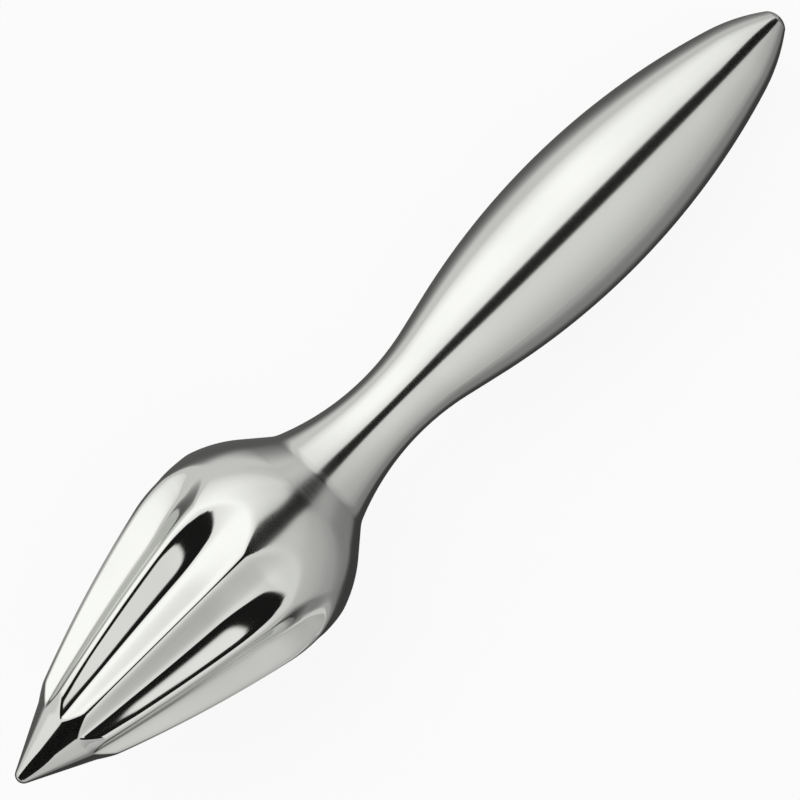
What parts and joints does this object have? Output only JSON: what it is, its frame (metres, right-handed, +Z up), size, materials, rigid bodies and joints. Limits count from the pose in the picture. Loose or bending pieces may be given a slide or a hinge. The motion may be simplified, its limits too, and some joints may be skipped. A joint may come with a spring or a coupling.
{
  "type": "hand citrus reamer",
  "caption": "Steel hand citrus reamer: a fluted teardrop head with a small conical tip, a narrow waist and a smooth spindle-shaped handle.",
  "frame": {"origin": "on the table under the middle of the tool as it lies", "axes": "+X along the tool from the tip of the head to the rear end, +Z up from the table"},
  "size_m": [0.1694, 0.036, 0.0366],
  "materials": {
    "polished_steel": "polished flutes and tip, satin shoulder",
    "satin_steel": "satin, brushed round the axis",
    "plain_steel": "turned, not seen"
  },
  "bodies": {
    "root": {"reamer_head": "polished_steel", "tie_stud": "plain_steel", "neck_insert": "plain_steel", "handle_shell_upper": "satin_steel", "handle_shell_lower": "satin_steel", "end_plug": "satin_steel"}
  },
  "joints": []
}
